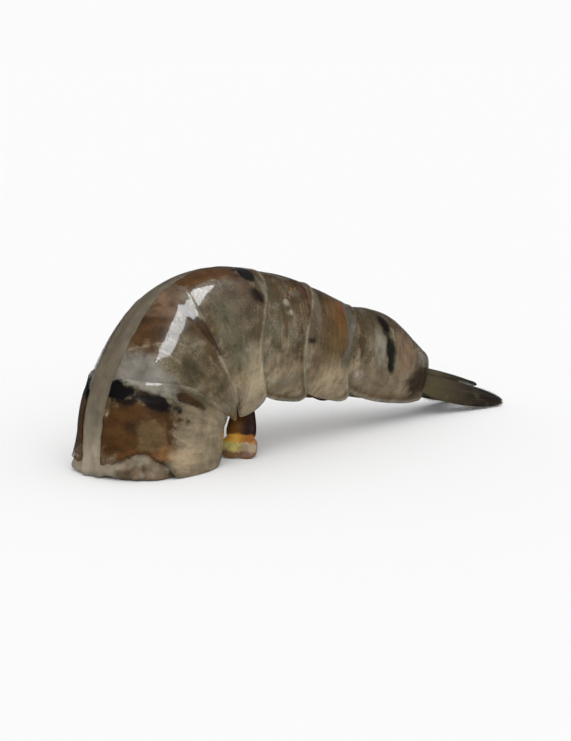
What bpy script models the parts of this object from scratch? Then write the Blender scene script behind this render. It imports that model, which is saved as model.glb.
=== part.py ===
"""Raw tiger prawn tail: headless, shell on, slit along the back, tail fan on.

Every piece is first laid out along a straight body: station (distance back from the
head end), side (+Y is the prawn's right) and rise (above the body's middle line).
curl() then bends that straight body along one chain of arcs, the spine, so that
neighbours keep their clearance. Metres, +Z up, head end toward -X, tail toward +X.
"""

import math

import bmesh
import bpy
from mathutils import Matrix, Vector

MM = 0.001

# The spine, a chain of arcs in the XZ plane: length and bend of each, from the head end back.
SPINE_START = Vector((-37.96, 0.0, -0.8)) * MM
SPINE_HEADING = 85.0
SPINE_ARCS = (
    (7.6 * MM, 0.0),
    (24.8 * MM, -91.5),
    (30.0 * MM, -12.0),
    (24.0 * MM, 2.0),
    (12.0 * MM, 3.0),
    (20.0 * MM, 0.0),
)

# The flesh: station, half width, height above the spine, depth below it.
FLESH_SECTIONS = (
    (-1.5 * MM, 10.2 * MM, 11.4 * MM, 8.0 * MM),
    (6.0 * MM, 10.2 * MM, 11.4 * MM, 8.3 * MM),
    (16.0 * MM, 9.8 * MM, 10.7 * MM, 8.4 * MM),
    (27.0 * MM, 9.2 * MM, 11.5 * MM, 8.0 * MM),
    (38.0 * MM, 8.6 * MM, 11.5 * MM, 7.9 * MM),
    (49.0 * MM, 7.6 * MM, 10.3 * MM, 7.4 * MM),
    (60.0 * MM, 6.4 * MM, 8.4 * MM, 6.6 * MM),
    (72.0 * MM, 5.2 * MM, 8.6 * MM, 5.7 * MM),
    (84.0 * MM, 3.6 * MM, 4.0 * MM, 3.5 * MM),
)
FLESH_END = 80.0 * MM
FLESH_RINGS = 36
FLESH_SIDES = 24
CUT_SLANT = 0.10
CUT_RINGS = 4
SQUARENESS = 0.8

# The shell plates: rear edge, how far it sweeps back over the back, at mid side and down the
# side plates, how deep the side plates hang, and how much deeper still halfway along them.
SEGMENTS = (
    (13.0 * MM, 0.4 * MM, 2.6 * MM, 7.0 * MM, 4.2 * MM, 0.0 * MM),
    (22.2 * MM, 3.0 * MM, 0.8 * MM, 7.0 * MM, 4.6 * MM, 2.2 * MM),
    (34.0 * MM, 2.6 * MM, -1.2 * MM, 8.0 * MM, 4.6 * MM, 2.6 * MM),
    (45.6 * MM, 3.0 * MM, -1.2 * MM, 8.0 * MM, 3.8 * MM, 0.0 * MM),
    (58.2 * MM, 2.0 * MM, -1.2 * MM, 7.5 * MM, 2.8 * MM, 0.0 * MM),
    (83.1 * MM, 1.5 * MM, 0.0 * MM, 1.5 * MM, 1.5 * MM, 0.0 * MM),
)
# Where along a plate the deeper part starts, is deepest from and to, and ends.
DEEPER_SPAN = (0.15, 0.45, 0.50, 1.0)

# The slit along the back: station, then its left and right edges across the body. It ends at
# the last row, in front of the sixth plate, and wanders to the right of the middle line.
SLIT_EDGES = (
    (0.0 * MM, -2.2 * MM, 2.6 * MM),
    (12.0 * MM, -2.0 * MM, 3.2 * MM),
    (19.0 * MM, -1.4 * MM, 4.6 * MM),
    (27.0 * MM, 0.4 * MM, 4.4 * MM),
    (37.0 * MM, 1.1 * MM, 3.2 * MM),
    (48.0 * MM, 0.9 * MM, 2.2 * MM),
    (62.0 * MM, 0.4 * MM, 1.2 * MM),
)

# The first plates' front edge, and how far each side stands off the flesh there, most of all
# half way between the back and mid side.
FRONT_EDGE = 2.2 * MM
FRONT_SWEEP = 1.6 * MM
FRONT_SPLAY = {-1: 0.3 * MM, 1: 1.8 * MM}
FRONT_SPLAY_LENGTH = 7.0 * MM

SHELL_WALL = 0.4 * MM
SHELL_GAP = 0.3 * MM
SHELL_FLARE = 0.9 * MM
SHELL_OVERLAP = 2.0 * MM
SIDE_ANGLE = math.radians(126)
LOBE_ANGLE = math.radians(146)
LOBE_PEAK = 0.62
SHELL_STEPS = 8
SHELL_ROWS = 11
TAIL_SHELL_ROWS = 22

# The tail fan, folded like a steep roof: length, half width, half thickness, distance off the
# middle, rise over the spine, spread, droop and outward tilt of each blade, then how fully it
# widens at its root and how bluntly it ends.
TELSON = (23.0 * MM, 1.85 * MM, 1.2 * MM, 0.0 * MM, 1.5 * MM, 0.0, 1.4, 0.0, 10.0, 1.8)
FAN_BLADES = {
    "inner": (24.0 * MM, 2.0 * MM, 0.4 * MM, 1.73 * MM, -1.5 * MM, 5.0, 1.4, 65.0, 5.0, 3.5),
    "outer": (25.0 * MM, 2.7 * MM, 0.4 * MM, 2.75 * MM, -0.9 * MM, 7.0, 1.4, 65.0, 5.0, 3.0),
}
FAN_STATION = 80.4 * MM
FAN_ROLL = 0.2

# The swimmerets, one pair to each of the first five segments: station, fold from straight back
# (90 hangs square to the belly), splay outward, length, half width and distance off the middle.
SWIMMERETS = (
    (7.5 * MM, 175.0, 0.0, 5.0 * MM, 2.2 * MM, 3.0 * MM),
    (20.8 * MM, 122.0, 0.0, 7.5 * MM, 2.2 * MM, 3.2 * MM),
    (36.1 * MM, 103.0, 13.0, 12.68 * MM, 3.0 * MM, 3.3 * MM),
    (42.5 * MM, 4.0, 0.0, 8.5 * MM, 2.0 * MM, 2.6 * MM),
    (54.0 * MM, 3.0, 0.0, 7.5 * MM, 1.6 * MM, 2.1 * MM),
)
SWIMMERET_THICKNESS = 0.7 * MM
SWIMMERET_TURN = 40.0
SWIMMERET_ENDS = (2.0, 3.0)

SIDES = (("left", -1), ("right", 1))
SHARP_ANGLE = math.radians(50)


def clear_scene():
    for obj in list(bpy.data.objects):
        bpy.data.objects.remove(obj, do_unlink=True)


def make_material(name, colour, roughness):
    material = bpy.data.materials.new(name)
    material.use_nodes = True
    shader = material.node_tree.nodes["Principled BSDF"]
    shader.inputs["Base Color"].default_value = (*colour, 1.0)
    shader.inputs["Roughness"].default_value = roughness
    shader.inputs["Metallic"].default_value = 0.0
    return material


def add_object(name, mesh_builder, material):
    mesh = bpy.data.meshes.new(name)
    bmesh.ops.recalc_face_normals(mesh_builder, faces=mesh_builder.faces)
    mesh_builder.to_mesh(mesh)
    mesh_builder.free()
    mesh.shade_smooth()
    mesh.set_sharp_from_angle(angle=SHARP_ANGLE)
    mesh.materials.append(material)
    obj = bpy.data.objects.new(name, mesh)
    bpy.context.scene.collection.objects.link(obj)
    return obj


def spine_frame(station):
    """The point on the spine at a station, with its heading in radians."""
    point = SPINE_START.copy()
    heading = math.radians(SPINE_HEADING)
    left = station
    for index, (length, bend) in enumerate(SPINE_ARCS):
        last = index == len(SPINE_ARCS) - 1
        run = left if last else min(left, length)
        turn = math.radians(bend) * run / length
        chord = run if abs(turn) < 1e-9 else 2 * math.sin(turn / 2) * length / math.radians(bend)
        middle = heading + turn / 2
        point += Vector((math.cos(middle), 0, math.sin(middle))) * chord
        heading += turn
        left -= run
        if left <= 0:
            break
    return point, heading


def curl(builder):
    """Bends the straight body: X runs along the spine and Z stands square to it."""
    for vertex in builder.verts:
        station, side, rise = vertex.co
        point, heading = spine_frame(station)
        up = Vector((-math.sin(heading), 0, math.cos(heading)))
        vertex.co = point + up * rise + Vector((0, side, 0))


def rest_on_floor(builder):
    """Cuts a small flat where a piece would reach below the surface it rests on."""
    if min(vertex.co.z for vertex in builder.verts) > -1e-6:
        return
    everything = builder.verts[:] + builder.edges[:] + builder.faces[:]
    cut = bmesh.ops.bisect_plane(
        builder, geom=everything, plane_co=(0, 0, 0), plane_no=(0, 0, 1), clear_inner=True
    )
    edges = [item for item in cut["geom_cut"] if isinstance(item, bmesh.types.BMEdge)]
    bmesh.ops.edgenet_fill(builder, edges=edges)


def smooth_between(rows, station):
    """Smooth values between rows that start with their station."""
    low = max(1, min(len(rows) - 1, sum(row[0] < station for row in rows)))
    before, after = rows[low - 1], rows[low]
    ahead = rows[min(low + 1, len(rows) - 1)]
    behind = rows[max(low - 2, 0)]
    span = after[0] - before[0]
    t = max(0.0, min(1.0, (station - before[0]) / span))
    values = []
    for column in range(1, len(before)):
        start_slope = (after[column] - behind[column]) / (after[0] - behind[0]) * span
        end_slope = (ahead[column] - before[column]) / (ahead[0] - before[0]) * span
        values.append(
            (2 * t**3 - 3 * t**2 + 1) * before[column]
            + (t**3 - 2 * t**2 + t) * start_slope
            + (3 * t**2 - 2 * t**3) * after[column]
            + (t**3 - t**2) * end_slope
        )
    return values


def section_point(station, angle, lift, hang):
    """A point round the body: angle 0 is the back, lift stands off the flesh, hang drops the sides."""
    half_width, height, depth = smooth_between(FLESH_SECTIONS, station)
    across = math.copysign(abs(math.sin(angle)) ** SQUARENESS, math.sin(angle))
    reach = height if math.cos(angle) > 0 else depth + hang
    return Vector((station, across * (half_width + lift), math.cos(angle) * (reach + lift)))


def make_flesh(material):
    builder = bmesh.new()
    rings = []
    for ring in range(FLESH_RINGS):
        station = FLESH_SECTIONS[0][0] + (FLESH_END - FLESH_SECTIONS[0][0]) * ring / (FLESH_RINGS - 1)
        points = []
        for side in range(FLESH_SIDES):
            angle = 2 * math.pi * side / FLESH_SIDES
            point = section_point(station, angle, 0.0, 0.0)
            slant = max(0.0, 1 - ring / CUT_RINGS) * CUT_SLANT * point.z
            points.append(builder.verts.new(point + Vector((slant, 0, 0))))
        rings.append(points)
    for front, back in zip(rings, rings[1:]):
        for side in range(FLESH_SIDES):
            after = (side + 1) % FLESH_SIDES
            builder.faces.new((front[side], front[after], back[after], back[side]))
    builder.faces.new(rings[0])
    builder.faces.new(rings[-1])
    curl(builder)
    rest_on_floor(builder)
    return add_object("flesh", builder, material)


def rear_edge(number, angle):
    """A plate's rear edge: swept back over the back, at mid side and down the side plates."""
    joint, back_sweep, middle_sweep, side_sweep = SEGMENTS[number][:4]
    sweep = back_sweep if math.cos(angle) > 0 else side_sweep
    return joint + sweep * math.cos(angle) ** 2 + middle_sweep * math.sin(angle) ** 4


def front_edge(number, angle):
    if number > 0:
        return rear_edge(number - 1, angle) - SHELL_OVERLAP
    return FRONT_EDGE + FRONT_SWEEP * math.cos(angle) * abs(math.cos(angle))


def lobe(u):
    """Outline of a side plate's lower edge: 0 at both corners, 1 at its lowest point."""
    along = (u - LOBE_PEAK) / (LOBE_PEAK if u < LOBE_PEAK else 1 - LOBE_PEAK)
    return math.sqrt(max(0.0, 1 - abs(along) ** 3))


def slit_angle(number, u, side):
    """The angle round the body where a plate meets the slit, counted toward its own side."""
    station = front_edge(number, 0.0) + (rear_edge(number, 0.0) - front_edge(number, 0.0)) * u
    edge = smooth_between(SLIT_EDGES, station)[side > 0] * side
    across = abs(edge) / smooth_between(FLESH_SECTIONS, station)[0]
    return math.copysign(math.asin(across ** (1 / SQUARENESS)), edge)


def ramp(value, low, high):
    """0 at low and 1 at high, with a smooth rise between."""
    share = max(0.0, min(1.0, (value - low) / (high - low)))
    return share * share * (3 - 2 * share)


def plate_point(number, u, v, side):
    """A point of a shell plate: u runs front to rear, v from the slit (or edge) to the lower edge."""
    hang, deeper = SEGMENTS[number][4:]
    hang += deeper * ramp(u, *DEEPER_SPAN[:2]) * (1 - ramp(u, *DEEPER_SPAN[2:]))
    lower = SIDE_ANGLE + (LOBE_ANGLE - SIDE_ANGLE) * lobe(u)
    if side:
        opening = slit_angle(number, u, side)
        angle = opening + (lower - opening) * v
    else:
        angle = lower * (2 * v - 1)
    front = front_edge(number, angle)
    station = front + (rear_edge(number, angle) - front) * u
    lift = SHELL_GAP + SHELL_FLARE * u
    if number == 0:
        fade = max(0.0, 1 - (station - FRONT_EDGE) / FRONT_SPLAY_LENGTH)
        lift += FRONT_SPLAY[side] * fade**2 * max(0.0, math.sin(2 * angle))
    return section_point(station, angle * (side or 1), lift, hang)


def make_plate(name, number, side, material):
    builder = bmesh.new()
    rows = SHELL_ROWS if side else TAIL_SHELL_ROWS
    bmesh.ops.create_grid(builder, x_segments=SHELL_STEPS, y_segments=rows, size=0.5)
    for vertex in builder.verts:
        vertex.co = plate_point(number, vertex.co.x + 0.5, vertex.co.y + 0.5, side)
    if side < 0:
        bmesh.ops.reverse_faces(builder, faces=builder.faces)
    curl(builder)
    builder.normal_update()
    bmesh.ops.solidify(builder, geom=builder.faces[:], thickness=-SHELL_WALL)
    rest_on_floor(builder)
    return add_object(name, builder, material)


def blade_builder(length, half_width, half_thickness, ends, roll, sides, rings):
    """A flat blade along +X from the origin; ends are its fullness at the root and bluntness at the tip."""
    builder = bmesh.new()
    upright = Matrix.Rotation(math.pi / 2, 4, "Y")
    bmesh.ops.create_uvsphere(builder, u_segments=sides, v_segments=rings, radius=1.0, matrix=upright)
    for vertex in builder.verts:
        along = min(1.0, max(0.0, (vertex.co.x + 1) / 2))
        outline = math.sqrt((1 - (1 - along) ** ends[0]) * (1 - along ** ends[1]))
        across = Vector((vertex.co.y, vertex.co.z))
        if across.length > 0:
            across.normalize()
        height = across.y * half_thickness * 2 * math.sqrt(along * (1 - along))
        height -= roll * half_width * (across.x * outline) ** 2
        vertex.co = Vector((along * length, across.x * outline * half_width, height))
    return builder


def make_fan_blade(name, size, side, material):
    length, half_width, half_thickness, offset, rise, spread, droop, tilt = size[:8]
    builder = blade_builder(length, half_width, half_thickness, size[8:], FAN_ROLL, 12, 12)
    place = (
        Matrix.Translation((FAN_STATION, offset * side, rise))
        @ Matrix.Rotation(math.radians(spread) * side, 4, "Z")
        @ Matrix.Rotation(math.radians(droop), 4, "Y")
        @ Matrix.Rotation(-math.radians(tilt) * side, 4, "X")
    )
    bmesh.ops.transform(builder, matrix=place, verts=builder.verts)
    curl(builder)
    rest_on_floor(builder)
    return add_object(name, builder, material)


def make_swimmerets(material):
    for number, (station, fold, splay, length, half_width, offset) in enumerate(SWIMMERETS, 1):
        depth = smooth_between(FLESH_SECTIONS, station)[2]
        point, heading = spine_frame(station)
        up = Vector((-math.sin(heading), 0, math.cos(heading)))
        root = point - up * (depth + SHELL_GAP + SWIMMERET_THICKNESS)
        turn = SWIMMERET_TURN if splay else 0.0
        for side_name, side in SIDES:
            blade = blade_builder(length, half_width, SWIMMERET_THICKNESS, SWIMMERET_ENDS, 0.0, 8, 8)
            piece = add_object(f"pleopod_{number}_{side_name}", blade, material)
            piece.matrix_world = (
                Matrix.Translation(root + Vector((0, offset * side, 0)))
                @ Matrix.Rotation(math.radians(fold) - heading, 4, "Y")
                @ Matrix.Rotation(math.radians(splay) * side, 4, "Z")
                @ Matrix.Rotation(math.radians(turn) * side, 4, "X")
            )


def main():
    clear_scene()
    flesh = make_material("flesh", (0.42, 0.42, 0.38), 0.35)
    shell = make_material("shell", (0.20, 0.15, 0.10), 0.25)
    fan = make_material("tail fan", (0.05, 0.045, 0.03), 0.3)
    legs = make_material("swimmerets", (0.30, 0.15, 0.05), 0.3)
    make_flesh(flesh)
    for number in range(len(SEGMENTS) - 1):
        for side_name, side in SIDES:
            make_plate(f"shell_{number + 1}_{side_name}", number, side, shell)
    make_plate("shell_6", 5, 0, shell)
    make_fan_blade("telson", TELSON, 0, fan)
    for blade_name, size in FAN_BLADES.items():
        for side_name, side in SIDES:
            make_fan_blade(f"uropod_{side_name}_{blade_name}", size, side, fan)
    make_swimmerets(legs)


main()
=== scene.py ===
"""The looks of a raw tiger prawn tail: shell on, slit along the back, tail fan folded."""

import math
from collections import namedtuple

import bmesh
import bpy
from mathutils import Matrix, Vector, noise


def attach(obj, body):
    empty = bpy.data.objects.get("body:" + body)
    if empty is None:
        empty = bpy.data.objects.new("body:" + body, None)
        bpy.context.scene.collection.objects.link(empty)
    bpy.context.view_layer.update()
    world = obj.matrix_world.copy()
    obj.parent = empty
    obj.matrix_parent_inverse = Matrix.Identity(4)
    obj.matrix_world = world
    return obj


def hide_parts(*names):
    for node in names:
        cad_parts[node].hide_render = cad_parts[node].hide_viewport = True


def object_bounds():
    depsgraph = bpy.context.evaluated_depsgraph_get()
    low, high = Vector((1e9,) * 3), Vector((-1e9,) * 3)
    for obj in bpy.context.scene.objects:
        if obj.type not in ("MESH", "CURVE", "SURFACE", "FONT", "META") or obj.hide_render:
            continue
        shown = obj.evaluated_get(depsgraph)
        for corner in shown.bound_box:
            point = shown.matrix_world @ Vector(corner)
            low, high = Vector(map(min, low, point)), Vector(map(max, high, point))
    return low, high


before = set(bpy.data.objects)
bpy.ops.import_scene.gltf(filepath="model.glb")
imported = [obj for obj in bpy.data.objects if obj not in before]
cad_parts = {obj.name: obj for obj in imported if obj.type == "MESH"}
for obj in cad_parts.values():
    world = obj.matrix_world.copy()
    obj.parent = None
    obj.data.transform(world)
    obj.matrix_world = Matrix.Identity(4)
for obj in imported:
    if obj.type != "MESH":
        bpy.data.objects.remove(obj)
cad_low, cad_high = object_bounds()

# ------------------------------------------------------------
# Flesh: one curled, tapering muscle, cut off square where the head was and standing on
# that cut. It is raw, so it is grey and half clear, and it swells up through the slit
# along the back until it is level with the shell.

MM = 0.001


def mm(*lengths):
    """A row of lengths that are given in millimetres."""
    return tuple(length * MM for length in lengths)


# The body is laid out straight, as station (back from the head end), side and rise, and
# bent along a chain of arcs, the spine: length and bend of each arc.
SPINE_START = Vector((cad_low.x + 11.94 * MM, 0.0, -0.8 * MM))
SPINE_HEADING = 85.0
SPINE_ARCS = (
    (7.6 * MM, 0.0),
    (24.8 * MM, -91.5),
    (30.0 * MM, -12.0),
    (24.0 * MM, 2.0),
    (12.0 * MM, 3.0),
    (20.0 * MM, 0.0),
)

# Station, half width, height above the spine, depth below it.
BODY_SECTIONS = (
    mm(-1.5, 10.2, 11.4, 8.0),
    mm(6.0, 10.2, 11.4, 8.3),
    mm(16.0, 9.8, 10.7, 8.4),
    mm(27.0, 9.2, 11.5, 8.0),
    mm(38.0, 8.6, 11.5, 7.9),
    mm(49.0, 7.6, 10.3, 7.4),
    mm(60.0, 6.4, 8.4, 6.6),
    mm(72.0, 5.2, 8.6, 5.7),
    mm(84.0, 3.6, 4.0, 3.5),
)
SQUARENESS = 0.8

# Station, then the slit's left and right edges across the body.
SLIT_EDGES = (
    mm(0.0, -2.2, 2.6),
    mm(12.0, -2.0, 3.2),
    mm(19.0, -1.4, 4.6),
    mm(27.0, 0.4, 4.4),
    mm(37.0, 1.1, 3.2),
    mm(48.0, 0.9, 2.2),
    mm(62.0, 0.4, 1.2),
)

# The flesh's skin lies this far outside the body's sections, waves a little, and swells up in
# the slit, with a crease along the middle where the slit is wide.
FLESH_FRONT = 0.8 * MM
FLESH_END = 80.0 * MM
FLESH_LIFT = 0.60 * MM
FLESH_WAVES = 0.12 * MM
FLESH_SWELL = 0.55 * MM
CREASE_DEPTH = 0.28 * MM
CREASE_WIDTH = 0.35 * MM

# The cut is dished and leans so that it lies level on the floor. Its rim is rounded, lumpy,
# bitten and dented, and each of these fades out along the body by its own end.
CUT_DISH = 1.1 * MM
CUT_RIM = 1.4 * MM
CUT_RIM_DROP = 0.6
CUT_LUMPS = 1.1 * MM
CUT_LUMPS_END = 6.5 * MM
CUT_BITES = 1.3 * MM
CUT_BITES_END = 3.0 * MM
CUT_DENTS = 0.45 * MM
CUT_LEAN = -math.tan(math.radians(90 - SPINE_HEADING))
CUT_LEAN_END = 8.0 * MM
TAIL_BULGE = 0.8 * MM

# The shares of the way from the middle of the cut to the tail end that the two end faces take,
# and how much closer together the rings of points lie near the cut.
CUT_SHARE = 0.12
TAIL_SHARE = 0.04
RING_CROWDING = 1.25

# The torn front end stands out to each side, most of all half way between back and mid side,
# and the flesh follows part of the way.
FRONT_SPLAY = {-1: 0.3 * MM, 1: 1.8 * MM}
FRONT_SPLAY_LENGTH = 7.0 * MM
FLESH_SPLAY = 0.75

# Distances round the body are measured as if its radius were this all along.
NOMINAL_GIRTH = 10.0 * MM


def smooth(value, low, high):
    """0 at low and 1 at high, with a smooth rise between."""
    share = max(0.0, min(1.0, (value - low) / (high - low)))
    return share * share * (3 - 2 * share)


def bell(distance, width):
    """1 in the middle, falling off smoothly to both sides."""
    return math.exp(-((distance / width) ** 2))


def spine_frame(station):
    """The point on the spine at a station, with its heading in radians."""
    point = SPINE_START.copy()
    heading = math.radians(SPINE_HEADING)
    left = station
    for index, (length, bend) in enumerate(SPINE_ARCS):
        last = index == len(SPINE_ARCS) - 1
        run = left if last else min(left, length)
        turn = math.radians(bend) * run / length
        chord = run if abs(turn) < 1e-9 else 2 * math.sin(turn / 2) * length / math.radians(bend)
        middle = heading + turn / 2
        point += Vector((math.cos(middle), 0, math.sin(middle))) * chord
        heading += turn
        left -= run
        if left <= 0:
            break
    return point, heading


def curled(place):
    """Where a point of the straight body lies on the curled one."""
    station, side, rise = place
    point, heading = spine_frame(station)
    return point + Vector((-math.sin(heading) * rise, side, math.cos(heading) * rise))


def between(rows, station):
    """Smooth values between rows that start with their station."""
    low = max(1, min(len(rows) - 1, sum(row[0] < station for row in rows)))
    before, after = rows[low - 1], rows[low]
    ahead = rows[min(low + 1, len(rows) - 1)]
    behind = rows[max(low - 2, 0)]
    span = after[0] - before[0]
    t = max(0.0, min(1.0, (station - before[0]) / span))
    values = []
    for column in range(1, len(before)):
        start_slope = (after[column] - behind[column]) / (after[0] - behind[0]) * span
        end_slope = (ahead[column] - before[column]) / (ahead[0] - before[0]) * span
        values.append(
            (2 * t**3 - 3 * t**2 + 1) * before[column]
            + (t**3 - 2 * t**2 + t) * start_slope
            + (3 * t**2 - 2 * t**3) * after[column]
            + (t**3 - t**2) * end_slope
        )
    return values


def body_point(station, angle, lift, hang=0.0):
    """A point round the straight body: angle 0 is the back, lift stands off, hang drops the sides."""
    half_width, height, depth = between(BODY_SECTIONS, station)
    across = math.copysign(abs(math.sin(angle)) ** SQUARENESS, math.sin(angle))
    reach = height if math.cos(angle) > 0 else depth + hang
    return Vector((station, across * (half_width + lift), math.cos(angle) * (reach + lift)))


def slit_angle(station, side):
    """The angle round the body of the slit's left (-1) or right (1) edge, positive to the right."""
    edge = between(SLIT_EDGES, station)[side > 0]
    across = abs(edge) / between(BODY_SECTIONS, station)[0]
    return math.copysign(math.asin(across ** (1 / SQUARENESS)), edge)


def front_splay(station, angle):
    """How far the torn front end stands out at an angle, negative angles being on the left."""
    fade = max(0.0, 1 - max(0.0, station) / FRONT_SPLAY_LENGTH)
    turned = max(0.0, math.sin(2 * abs(angle))) if abs(angle) < math.pi / 2 else 0.0
    return FRONT_SPLAY[1 if angle > 0 else -1] * fade**1.5 * turned


def ripple(place, size):
    """Smooth noise from -1 to 1, in waves of about this size."""
    return noise.noise(place / size)


def slit_swell(station, angle):
    """How far the flesh stands out in the slit: a round swelling with a crease along its middle."""
    if station >= SLIT_EDGES[-1][0] or abs(angle) >= math.pi / 2:
        return 0.0
    left, right = slit_angle(station, -1), slit_angle(station, 1)
    share = (angle - left) / (right - left)
    if not 0 < share < 1:
        return 0.0
    fullness = math.sqrt(min(1.0, 7.2 * share * (1 - share)))
    width = (right - left) * NOMINAL_GIRTH
    crease = bell((share - 0.5) * width, CREASE_WIDTH) * smooth(width, 1.5 * MM, 4.0 * MM)
    swell = FLESH_SWELL * fullness * smooth(width, 0.2 * MM, 2.4 * MM)
    return swell - CREASE_DEPTH * crease


def cut_bite(angle):
    """How deep the rim of the cut is bitten at an angle."""
    bite = 0.25 + noise.noise(Vector((math.cos(angle) * 3.1, math.sin(angle) * 3.1, 7.0)))
    return CUT_BITES * max(0.0, bite)


def flesh_place(along, angle):
    """A point of the flesh, and how far it bulges there.

    along runs from the middle of the cut, over its rim, to the tail end.
    """
    body = max(0.0, (along - CUT_SHARE) / (1 - CUT_SHARE - TAIL_SHARE))
    station = FLESH_FRONT + (FLESH_END - FLESH_FRONT) * min(1.0, body) ** RING_CROWDING
    rim = min(1.0, (station - FLESH_FRONT) / CUT_RIM)
    lift = FLESH_LIFT + FLESH_SPLAY * front_splay(station, angle)
    lift -= CUT_RIM * CUT_RIM_DROP * (1 - math.sqrt(1 - (1 - rim) ** 2))
    lift += slit_swell(station, angle)
    place = body_point(station, angle, lift)
    lumpy = (1 - smooth(station, 0.0, CUT_LUMPS_END)) * CUT_LUMPS
    bulge = ripple(place + Vector((0.3, 0.1, 0)), 4.2 * MM) + 0.5 * ripple(place, 1.9 * MM)
    bulge *= lumpy
    place = body_point(station, angle, lift + bulge - 0.2 * lumpy)
    place += Vector((0, FLESH_WAVES, FLESH_WAVES)) * ripple(place, 5.0 * MM)
    bite = cut_bite(angle)
    place.x += bite * (1 - smooth(station, 0.0, CUT_BITES_END))
    if along < CUT_SHARE:
        outward = along / CUT_SHARE
        place.y *= outward
        place.z *= outward
        dish = CUT_DISH * (1 - outward**3) + bite * outward**3
        dish += CUT_DENTS * ripple(place, 2.4 * MM) * 4 * outward * (1 - outward)
        place.x = FLESH_FRONT + place.z * CUT_LEAN + dish
        bulge *= outward
    elif body >= 1:
        outward = max(0.0, (1 - along) / TAIL_SHARE)
        place.y *= outward
        place.z *= outward
        place.x += TAIL_BULGE * (1 - outward)
    else:
        place.x += place.z * CUT_LEAN * (1 - smooth(station, 0.0, CUT_LEAN_END))
    return place, bulge


def start_piece(name, add, **size):
    """A new primitive, added with nothing else selected."""
    bpy.ops.object.select_all(action="DESELECT")
    add(**size)
    piece = bpy.context.object
    piece.name = name
    return piece


def shape_ball(name, segments, rings, place_of):
    """A unit ball, shaped: place_of gives each of its points a new place and a layout."""
    ball = bpy.ops.mesh.primitive_uv_sphere_add
    piece = start_piece(name, ball, segments=segments, ring_count=rings, radius=1.0)
    layout = piece.data.attributes.new("layout", "FLOAT_VECTOR", "POINT")
    for vertex in piece.data.vertices:
        vertex.co, layout.data[vertex.index].vector = place_of(vertex.co)
    return piece


def smooth_shaded(piece, degrees):
    """Shades a piece smooth, apart from the edges that are sharper than this."""
    bpy.ops.object.select_all(action="DESELECT")
    piece.select_set(True)
    bpy.context.view_layer.objects.active = piece
    bpy.ops.object.shade_smooth_by_angle(angle=math.radians(degrees))


def muscle_point(point):
    """The ball's poles are the middle of the cut and the tail end, and its angle 0 is the back."""
    along = math.acos(max(-1.0, min(1.0, -point.z))) / math.pi
    angle = math.atan2(point.y, point.x)
    place, bulge = flesh_place(along, angle)
    return curled(place), (place.x, abs(angle) * NOMINAL_GIRTH, bulge)


class Wire:
    """A shader socket that stands in a sum as a number does."""

    def __init__(self, nodes, socket):
        self.nodes = nodes
        self.socket = socket

    def worked(self, operation, first, second):
        return self.nodes.node("ShaderNodeMath", {"operation": operation}, {0: first, 1: second})

    def __add__(self, other):
        return self.worked("ADD", self, other)

    def __sub__(self, other):
        return self.worked("SUBTRACT", self, other)

    def __rsub__(self, other):
        return self.worked("SUBTRACT", other, self)

    def __mul__(self, other):
        return self.worked("MULTIPLY", self, other)

    __radd__ = __add__
    __rmul__ = __mul__


class Nodes:
    """A node tree in the making."""

    def __init__(self, tree):
        self.tree = tree

    def node(self, kind, settings=(), inputs=(), output=0):
        made = self.tree.nodes.new(kind)
        for name, value in dict(settings).items():
            setattr(made, name, value)
        for name, value in dict(inputs).items():
            self.feed(made.inputs[name], value)
        return Wire(self, made.outputs[output])

    def feed(self, socket, value):
        if isinstance(value, Wire):
            self.tree.links.new(value.socket, socket)
        else:
            socket.default_value = value


class Finish(Nodes):
    """A material in the making: its nodes, and the shader that they feed."""

    def __init__(self, name, **constants):
        self.material = bpy.data.materials.new(name)
        self.material.use_nodes = True
        super().__init__(self.material.node_tree)
        self.shader = self.tree.nodes["Principled BSDF"]
        self.place = self.node("ShaderNodeTexCoord", output="Object")
        self.shade(**constants)

    def shade(self, **inputs):
        """Feeds the shader's own sockets."""
        for name, value in inputs.items():
            self.feed(self.shader.inputs[name.replace("_", " ")], value)

    def measured(self, attribute):
        """The three measures that each point of the mesh carries under this name."""
        vector = self.node("ShaderNodeAttribute", {"attribute_name": attribute}, output="Vector")
        return vector, *(self.node("ShaderNodeSeparateXYZ", (), {0: vector}, axis) for axis in "XYZ")

    def stretched(self, vector, scale, turn=0.0):
        """Places for a grain that runs one way."""
        return self.node(
            "ShaderNodeMapping", (), {"Vector": vector, "Scale": scale, "Rotation": (0, 0, turn)}
        )

    def grain(self, size, detail=2.0, vector=None):
        """Noise from 0 to 1 whose waves are about this size."""
        return self.node(
            "ShaderNodeTexNoise",
            (),
            {"Vector": vector or self.place, "Scale": 1 / size, "Detail": detail, "Roughness": 0.55},
            output="Fac",
        )

    def rise(self, value, low, high):
        """0 below low and 1 above high, or the other way round if low is the higher."""
        return self.node(
            "ShaderNodeMapRange",
            {"interpolation_type": "SMOOTHSTEP"},
            {"Value": value, "From Min": low, "From Max": high},
        )

    def blend(self, factor, first, second):
        """A colour between two, each a wire or (red, green, blue)."""
        colours = [c if isinstance(c, Wire) else (*c, 1.0) for c in (first, second)]
        return self.node(
            "ShaderNodeMix",
            {"data_type": "RGBA"},
            {"Factor": factor, 6: colours[0], 7: colours[1]},
            output=2,
        )

    def layered(self, colour, *layers):
        """Tones laid over a colour, each where its value rises from low to high."""
        for value, low, high, strength, tone in layers:
            colour = self.blend(self.rise(value, low, high) * strength, colour, tone)
        return colour

    def dimmed(self, colour, shade):
        """A colour, darker below a shade of 1 and lighter above it."""
        return self.node(
            "ShaderNodeVectorMath", {"operation": "SCALE"}, {0: colour, "Scale": shade}, output="Vector"
        )

    def bump(self, height, depth):
        return self.node("ShaderNodeBump", (), {"Height": height, "Distance": depth}, output="Normal")


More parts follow.
